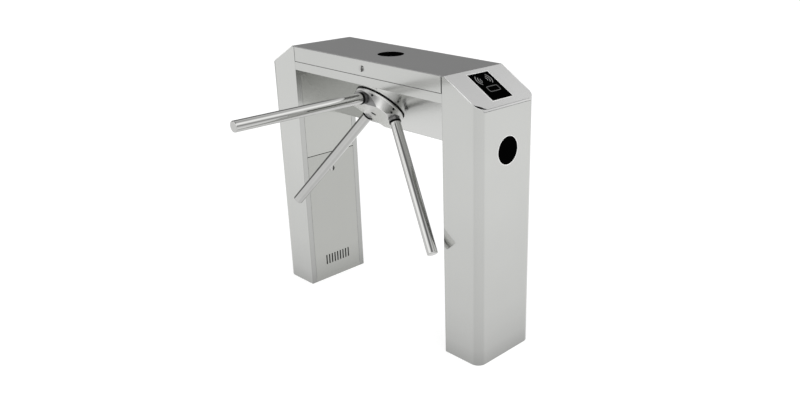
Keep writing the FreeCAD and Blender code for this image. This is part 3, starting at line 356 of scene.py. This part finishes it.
def makeSymbols():
    look = plain("symbolPrint", symbol["print"], symbol["rough"], specular=symbol["specular"])
    dimLook = plain("cardPrint", symbol["dimPrint"], symbol["rough"], specular=symbol["specular"])
    for side, tag in ((1, "right"), (-1, "left")):
        along, middle, spacing = symbol["arcs"]
        turn = np.linspace(-symbol["sweep"], symbol["sweep"], symbol["steps"])
        for direction in (-1, 1):
            for number, radius in enumerate(symbol["radii"]):
                arcAlong = along + radius * np.sin(turn)
                arcAcross = middle + direction * (spacing + radius * np.cos(turn))
                strokePiece(f"{tag}Arc{'AB'[direction > 0]}{number}", side, arcAlong, arcAcross, False, look)
        centre, shift, halfWidth, halfHeight, corner = symbol["card"]
        turn = np.linspace(0, 2 * math.pi, 4 * symbol["steps"], endpoint=False)
        flatCos, flatSin = (np.clip(wave * symbol["square"], -1, 1) for wave in (np.cos(turn), np.sin(turn)))
        cardAcross = shift + flatCos * (halfWidth - corner) + corner * np.cos(turn)
        cardAlong = centre + flatSin * (halfHeight - corner) + corner * np.sin(turn)
        strokePiece(tag + "Card", side, cardAlong, cardAcross, True, dimLook)


makeSymbols()
print("pieces made: reader symbols")


# Crescents: painted dark reflections, each a flat black piece between an arc and an inner line, on a plane
# with two directions
# radius(a) = outer - least - width * sin(pi * t) at angle a, with t running 0 to 1 over the sweep
# painted reflection: a black crescent on each cap's front corner, where the rounded corner reflects dark
capCornerReflection = {"centre": (0.523, 0.105), "outer": 0.0324, "width": 0.0092, "least": 0.0004,
           "sweep": (0.22, 1.66), "lift": 0.0003, "steps": 40}
# painted reflection: a black crescent on the face of each lock, where its bevel reflects dark
lockReflection = {"outer": 0.0109, "width": 0.0075, "least": 0.0003, "sweep": (-1.6, 1.3), "lift": 0.0003,
            "steps": 32, "lid": (0.0, -0.1413, 0.968), "panel": (0.3907, 0.0, 0.481)}


def crescent(name, form, flatPoint, look, body):  # flatPoint(x, y, lift) is on the surface
    t = np.linspace(0, 1, form["steps"])
    turn = form["sweep"][0] + t * (form["sweep"][1] - form["sweep"][0])
    inner = form["outer"] - form["least"] - form["width"] * np.sin(math.pi * t)
    rings = [flatPoint(radius * np.cos(turn), radius * np.sin(turn), lift) for radius, lift in (
        (form["outer"], 0.0), (inner, 0.0), (inner, form["lift"]), (form["outer"], form["lift"]))]
    return skin(name, np.stack(rings, 1), look, body)


def makeCrescents():
    look = finishes["black_rubber"]
    for side, tag in ((1, "right"), (-1, "left")):
        def onCap(x, y, lift):  # angles run from the column's front to its end
            along = (capCornerReflection["centre"][0] + y - slope["breakX"]) / slopeCos
            return slopePoint(side, along, -capCornerReflection["centre"][1] - x, lift)

        def onPanel(x, y, lift):
            face, across, height = lockReflection["panel"]
            return np.stack(np.broadcast_arrays(side * (face - lift), across - side * x, height + y), -1)

        crescent(tag + "CapSlot", capCornerReflection, onCap, look, "cabinet")
        crescent(tag + "PanelLockMark", lockReflection, onPanel, look, tag + "_panel_lock")

    def onLid(x, y, lift):
        across, face, height = lockReflection["lid"]
        return np.stack(np.broadcast_arrays(across + x, face - lift, height + y), -1)

    crescent("lidLockReflection", lockReflection, onLid, look, "lid_lock")


# Trims: bright beads of round section around the lights and windows, and painted highlights as bright beads
# along the caps' sloped edges
# point(a) = middle + radius * (cos a * outwards + sin a * normal)
trim = {"bead": 0.0018, "edgeHighlightBead": 0.0013, "around": 10, "steps": 96, "endX": 0.5555,
        "lensRadius": 0.0493, "lensHeight": 0.757,
        "window": (0.0182, 0.1498, 0.0503), "windowSink": -0.0006,  # upper end, lower end, half width
        "edge": (0.003, 0.137), "edgeY": 0.1372, "edgeSink": -0.0002,
        "tone": (0.95, 0.95, 0.94), "rough": 0.35, "metallic": 0.2, "speckle": 0.01}


def bead(name, middle, outwards, normal, look, closed, radius=trim["bead"]):
    turn = np.linspace(0, 2 * math.pi, trim["around"], endpoint=False)[None, :, None]
    rings = middle[:, None] + radius * (np.cos(turn) * outwards[:, None] + np.sin(turn) * normal[:, None])
    if closed:
        rings = np.concatenate([rings, rings[:1]])
    return skin(name, rings, look, "cabinet", smooth=True)


def roundTrim(name, centre, radius, first, second, look):
    turn = np.linspace(0, 2 * math.pi, trim["steps"], endpoint=False)[:, None]
    outwards = np.cos(turn) * first + np.sin(turn) * second
    normal = np.broadcast_to(np.cross(first, second), outwards.shape)
    return bead(name, centre + radius * outwards, outwards, normal, look, True)


def makeTrims():
    look = plain("trimAndEdgeHighlight", trim["tone"], trim["rough"], trim["metallic"], speckle=trim["speckle"])
    across, up = np.array([0.0, 1, 0]), np.array([0.0, 0, 1])
    for side, tag in ((1, "right"), (-1, "left")):
        lensCentre = np.array([side * trim["endX"], 0, trim["lensHeight"]])
        roundTrim(tag + "LensTrim", lensCentre, trim["lensRadius"], across, up * side, look)
        near, far, half = trim["window"]
        loop = np.array([[near, -half], [far, -half], [far, half], [near, half]])
        middle = slopePoint(side, loop[:, 0], loop[:, 1], trim["windowSink"])
        lean = np.array([side * slopeCos, 0, -slopeSin])
        normal = np.broadcast_to(np.array([side * slopeSin, 0, slopeCos]), middle.shape)
        outwards = np.array([-lean - across, lean - across, lean + across, -lean + across])
        bead(tag + "WindowTrim", middle, outwards, normal, look, True)
        # painted highlights: bright beads along each cap's sloped front and back edges
        for face, edge in ((-1, "Front"), (1, "Back")):
            middle = slopePoint(side, np.array(trim["edge"]), face * trim["edgeY"], trim["edgeSink"])
            outwards = np.broadcast_to(across * face, middle.shape)
            bead(f"{tag}CapEdgeHighlight{edge}", middle, outwards, normal[:2], look, False, trim["edgeHighlightBead"])


# Rings of rectangular section around an axis: the arms' dark joint bands and a dark ring behind the head,
# painted shadow in the gap there
# point(a) = centre + axis * along + radius * (cos a * first + sin a * second)
ring = {"gap": (0.0884, 0.0980, 0.0002, 0.0037), "band": (0.01906, 0.0213, 0.12005, 0.1238),  # radii, ends
        "steps": 96, "aside": (0.3, 0.5, 0.8)}


def collar(name, centre, axis, inner, outer, low, high, look, body, slot):
    first = np.cross(axis, ring["aside"])
    first = first / np.linalg.norm(first)
    second = np.cross(axis, first)
    turn = np.linspace(0, 2 * math.pi, ring["steps"])[:, None]
    spoke = np.cos(turn) * first + np.sin(turn) * second
    rings = [centre + axis * along + radius * spoke for radius, along in (
        (inner, low), (outer, low), (outer, high), (inner, high))]
    return skin(name, np.stack(rings, 1), look, body)


def makeRings():
    look = finishes["black_rubber"]
    # painted shadow: a black ring in the gap behind the head
    collar("headGapShadow", headCentre, headAxis, *ring["gap"], look, "cabinet", "black_rubber")
    for number, arm in enumerate(head["arms"]):
        collar(f"armBand{number + 1}", armMeet, np.array(arm), *ring["band"], look, "tripod", "black_rubber")


# Strips of half-round section: point(a) = line + across * cos a + out * sin a, for a from 0 to pi
strip = {"around": 9}


def halfRound(line, across, out):  # across is the half width and out the height, each as a direction
    turn = np.linspace(0, math.pi, strip["around"])[None, :, None]
    return line[:, None] + np.cos(turn) * np.array(across) + np.sin(turn) * np.array(out)


# Vent slots: black pieces behind each access panel, swelling into its slots as painted shade
vent = {"back": 0.3984, "front": 0.3974, "y": 0.066, "z": (0.058, 0.112), "count": 9, "pitch": 0.01425,
        "slot": (0.0645, 0.1055), "half": 0.00285, "swell": 0.0026}


def makeVentSlotShades():
    for side, tag in ((1, "right"), (-1, "left")):
        low, high = vent["z"]
        corners = np.array([[-vent["y"], low], [vent["y"], low], [vent["y"], high], [-vent["y"], high]])
        parts = [np.stack([np.column_stack([np.full(len(corners), side * x), corners])
                           for x in (vent["front"], vent["back"])])]
        for number in range(vent["count"]):
            across = (number - (vent["count"] - 1) / 2) * vent["pitch"]
            line = np.array([[side * vent["front"], across, height] for height in vent["slot"]])
            parts.append(halfRound(line, (0, vent["half"], 0), (-side * vent["swell"], 0, 0)))
        skin(tag + "VentFilter", parts, finishes["black_plastic"], "cabinet")


# Seam strips: dark rubber in the lid's front seam, at the lid's end and between the inner panels
seams = {  # ends of the line, half width, height
    "lidSeam": ((-0.3915, -0.13805, 0.9417), (0.3915, -0.13805, 0.9417), (0, 0, 0.0008), (0, -0.00025, 0)),
    "lidEndSeam": ((0.3928, -0.13805, 0.944), (0.3928, -0.13805, 0.996), (0.002, 0, 0), (0, -0.00025, 0)),
    "leftPanelSeam": ((-0.39395, -0.1145, 0.5522), (-0.39395, 0.1145, 0.5522), (0, 0, 0.0014),
                      (0.00025, 0, 0)),
    "rightPanelSeam": ((0.39395, -0.1145, 0.5522), (0.39395, 0.1145, 0.5522), (0, 0, 0.0014),
                       (-0.00025, 0, 0)),
}
capSeam = {"x": 0.55605, "y": 0.108, "z": 0.9112, "half": 0.0004, "proud": 0.0002}


def makeSeams():
    look = finishes["black_rubber"]
    for name, (start, end, across, out) in seams.items():
        rings = halfRound(np.array([start, end]), across, out)
        skin(name, rings, look, "cabinet", smooth=True)
    for side, tag in ((1, "right"), (-1, "left")):  # shadow line under each cap's lower edge
        line = np.array([[side * capSeam["x"], y, capSeam["z"]] for y in (-capSeam["y"], capSeam["y"])])
        rings = halfRound(line, (0, 0, capSeam["half"]), (side * capSeam["proud"], 0, 0))
        skin(tag + "CapSeam", rings, look, "cabinet", smooth=True)


makeCrescents()
makeTrims()
makeRings()
makeVentSlotShades()
makeSeams()
# The cap and lock crescents are painted dark reflections, and the black vent pieces are painted shade in the
# slots
print("pieces made: painted cap corner reflections, painted lock reflections, trims, rings, painted vent slot shade and seam strips")


# Studio: light floor, lit front wall, right wall lit higher up, dark left wall, dark ceiling
# A wall gives the light at each height of the ray's direction, a little less towards the lens
# The camera itself sees plain white
floor = ((-1.0, 0.8), (-0.69, 1.06), (-0.35, 1.0))
studio = {"right": (-0.45, 0.45), "front": (-0.45, -0.05), "leftReach": 0.5, "reachRise": (0.0, 0.12),
          "lens": (0.70, -0.66), "lensFade": (0.15, 0.55, 1.0, 0.90), "rampTop": 1.6, "tilt": 0.03,
          "frontWall": ((0.0, 0.95), (0.1, 0.9), (0.2, 1.55), (0.6, 1.55), (0.71, 0.6), (0.8, 0.2),
                        (1.0, 0.3)),
          "rightWall": ((-0.2, 1.0), (-0.08, 0.8), (0.02, 0.5), (0.13, 0.35), (0.25, 0.55), (0.4, 0.95),
                        (0.55, 1.4), (0.64, 1.52), (0.76, 1.28), (0.88, 0.45), (1.0, 0.3)),
          "leftWall": ((-0.22, 0.7), (-0.12, 0.18), (0.6, 0.18), (0.7, 0.5), (0.78, 0.9), (0.9, 0.5),
                       (1.0, 0.3))}


def makeWorld():
    world = bpy.data.worlds.new("studio")
    bpy.context.scene.world = world
    world.use_nodes = True
    graph = Graph(world.node_tree)
    heading = graph.add("ShaderNodeTexCoord", out=0)
    x, y, z = (graph.add("ShaderNodeSeparateXYZ", {}, {0: heading}, out=n) for n in range(3))
    rise = z * 0.5 + 0.5  # heights of -1 to 1 as 0 to 1
    left, right, front = (graph.ramp(rise, [(height * 0.5 + 0.5, grey(level / studio["rampTop"]))
                                            for height, level in floor + studio[key]])
                          for key in ("leftWall", "rightWall", "frontWall"))
    sides = graph.blend(graph.fade(x, *studio["right"]), left, right)
    reach = graph.fade(z, *studio["reachRise"]) * (studio["leftReach"] / 2)
    turned = y + (x.size() - x) * reach  # above the floor, the left wall reaches further round to the front
    room = graph.blend(graph.fade(turned, *studio["front"]), front, sides)
    lens = graph.fade(x * studio["lens"][0] + y * studio["lens"][1], *studio["lensFade"])
    strength = lens * (x * studio["tilt"] + 1.0) * studio["rampTop"]
    around = graph.add("ShaderNodeBackground", {}, {"Color": room, "Strength": strength})
    behind = graph.add("ShaderNodeBackground", {}, {"Color": grey(1.0), "Strength": 1.0})
    seen = graph.add("ShaderNodeLightPath", out=0)
    both = graph.add("ShaderNodeMixShader", {}, {0: seen, 1: around, 2: behind})
    graph.add("ShaderNodeOutputWorld", {}, {"Surface": both})


# Floor: pale, seen by the camera only; the studio's own floor lights the object
stageFloor = {"half": 60.0, "z": -0.0002, "colour": (0.45, 0.45, 0.45, 1), "glow": 0.78}


def makeFloor():
    made, graph = newMaterial("paleFloor")
    surface(graph, Base_Color=stageFloor["colour"], Roughness=1.0, Specular_IOR_Level=0.0,
            Emission_Color=grey(1.0), Emission_Strength=stageFloor["glow"])
    half, z = stageFloor["half"], stageFloor["z"]
    mesh = bpy.data.meshes.new("paleFloor")
    corners = [(-half, -half, z), (half, -half, z), (half, half, z), (-half, half, z)]
    mesh.from_pydata(corners, [], [(0, 1, 2, 3)])
    mesh.materials.append(made)
    floorPiece = bpy.data.objects.new("paleFloor", mesh)
    for ray in ("diffuse", "glossy", "transmission", "shadow"):
        setattr(floorPiece, "visible_" + ray, False)
    bpy.context.scene.collection.objects.link(floorPiece)


# Camera solved from the photograph; focal length, centre and picture size in pixels
view = {"eye": (2.1699, -1.8990, 1.5295), "back": (0.6327, -0.6868, 0.3577), "right": (0.7355, 0.6775, 0.0),
        "focal": 801.0, "centre": (477.2, 202.4), "width": 800.0, "height": 405.0, "sensor": 36.0,
        "farthest": 200.0}


def makeCamera():
    lens = bpy.data.cameras.new("photoCamera")
    lens.sensor_width = view["sensor"]
    lens.lens = view["focal"] / view["width"] * lens.sensor_width
    lens.shift_x = (view["width"] / 2 - view["centre"][0]) / view["width"]
    lens.shift_y = (view["centre"][1] - view["height"] / 2) / view["width"]
    lens.clip_end = view["farthest"]
    camera = bpy.data.objects.new("photoCamera", lens)
    back = Vector(view["back"]).normalized()
    right = Vector(view["right"])
    right = (right - back * right.dot(back)).normalized()
    up = back.cross(right)
    turn = Matrix((right, up, back)).transposed().to_4x4()
    camera.matrix_world = Matrix.Translation(view["eye"]) @ turn
    bpy.context.scene.collection.objects.link(camera)
    bpy.context.scene.camera = camera


makeWorld()
makeFloor()
makeCamera()
bpy.context.scene.view_settings.view_transform = "Standard"
print("studio ready")
